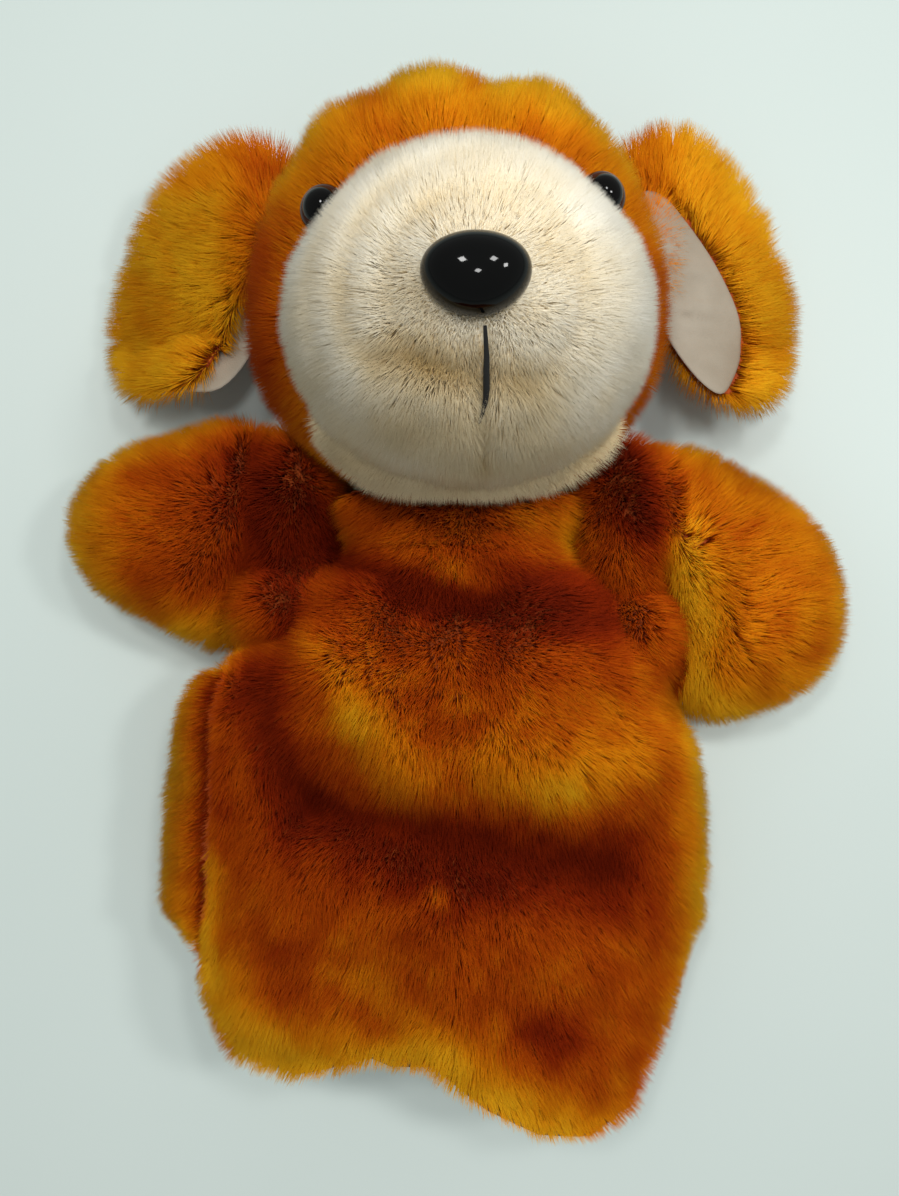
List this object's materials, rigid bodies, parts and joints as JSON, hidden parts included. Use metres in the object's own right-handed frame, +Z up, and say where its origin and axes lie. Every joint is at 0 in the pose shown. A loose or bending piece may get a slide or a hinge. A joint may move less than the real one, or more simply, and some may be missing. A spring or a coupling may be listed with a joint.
{
  "type": "hand puppet",
  "caption": "Plush dog glove puppet lying on its back: long-pile body and arms, stuffed head with cream muzzle, floppy ears, finger tube and hand opening at the hem.",
  "frame": {"origin": "centre of the bounding box in plan, at the table it lies on", "axes": "+X across the puppet to the viewer's right, +Y from the hem towards the crown, +Z up from its back to its front"},
  "size_m": [0.22, 0.2763, 0.1031],
  "materials": {
    "plush_fur": "long pile plush",
    "cream_fur": "long pile plush",
    "ear_lining": "short smooth pile",
    "dark_lining": "plain weave",
    "seam_thread": "sewn seam",
    "black_thread": "twisted thread",
    "fibre_filling": "loose fibre",
    "card_tube": "matt card",
    "black_plastic": "gloss",
    "eye_plastic": "gloss",
    "clear_plastic": "matt"
  },
  "bodies": {
    "glove": {"body_front_panel": "plush_fur", "body_back_panel": "plush_fur", "side_seam_left": "seam_thread", "side_seam_right": "seam_thread", "body_lining_front": "dark_lining", "body_lining_back": "dark_lining", "hem_tape_front": "dark_lining", "hem_tape_back": "dark_lining"},
    "shoulder_left": {"shoulder_seam_left": "seam_thread"},
    "shoulder_right": {"shoulder_seam_right": "seam_thread"},
    "arm_left": {"arm_left_front": "plush_fur", "arm_left_back": "plush_fur", "arm_left_pocket": "dark_lining", "arm_left_seam": "seam_thread"},
    "arm_right": {"arm_right_front": "plush_fur", "arm_right_back": "plush_fur", "arm_right_pocket": "dark_lining", "arm_right_seam": "seam_thread"},
    "neck_thread": {"neck_thread": "black_thread"},
    "neck_sleeve": {"neck_sleeve": "dark_lining"},
    "head": {"face_panel": "plush_fur", "crown_panel": "plush_fur", "head_stuffing": "fibre_filling", "finger_tube": "card_tube", "muzzle_cover": "cream_fur", "muzzle_stuffing": "fibre_filling", "chin_patch": "cream_fur", "nose": "black_plastic", "nose_washer": "clear_plastic", "eye_left": "eye_plastic", "eye_right": "eye_plastic", "eye_washer_left": "clear_plastic", "eye_washer_right": "clear_plastic", "mouth_stitch": "black_thread"},
    "ear_left": {"ear_left_fur": "plush_fur", "ear_left_lining": "ear_lining"},
    "ear_right": {"ear_right_fur": "plush_fur", "ear_right_lining": "ear_lining"}
  },
  "joints": [
    {"name": "head_tilt", "type": "hinge", "parent": "glove", "child": "neck_thread", "pos_m": [0, 0.027, 0.022], "axis": [0, 0, 1], "range_deg": [-8, 8]},
    {"name": "head_turn", "type": "hinge", "parent": "neck_thread", "child": "neck_sleeve", "pos_m": [0, 0.027, 0.022], "axis": [0, 1, 0], "range_deg": [-20, 20]},
    {"name": "head_nod", "type": "hinge", "parent": "neck_sleeve", "child": "head", "pos_m": [0, 0.027, 0.022], "axis": [1, 0, 0], "range_deg": [-8, 30]},
    {"name": "arm_left_raise", "type": "hinge", "parent": "glove", "child": "shoulder_left", "pos_m": [-0.05, 0.005, 0.014], "axis": [0, 0, -1], "range_deg": [-12, 10]},
    {"name": "arm_left_clap", "type": "hinge", "parent": "shoulder_left", "child": "arm_left", "pos_m": [-0.05, 0.005, 0.014], "axis": [0, 1, 0], "range_deg": [0, 55]},
    {"name": "arm_right_raise", "type": "hinge", "parent": "glove", "child": "shoulder_right", "pos_m": [0.05, -0.002, 0.014], "axis": [0, 0, 1], "range_deg": [-8, 14]},
    {"name": "arm_right_clap", "type": "hinge", "parent": "shoulder_right", "child": "arm_right", "pos_m": [0.05, -0.002, 0.014], "axis": [0, -1, 0], "range_deg": [0, 55]},
    {"name": "ear_left_flop", "type": "hinge", "parent": "head", "child": "ear_left", "pos_m": [-0.0525, 0.082, 0.022], "axis": [0.2216, 0.9751, 0], "range_deg": [0, 46]},
    {"name": "ear_right_flop", "type": "hinge", "parent": "head", "child": "ear_right", "pos_m": [0.0525, 0.082, 0.022], "axis": [0.2216, -0.9751, 0], "range_deg": [0, 46]}
  ]
}
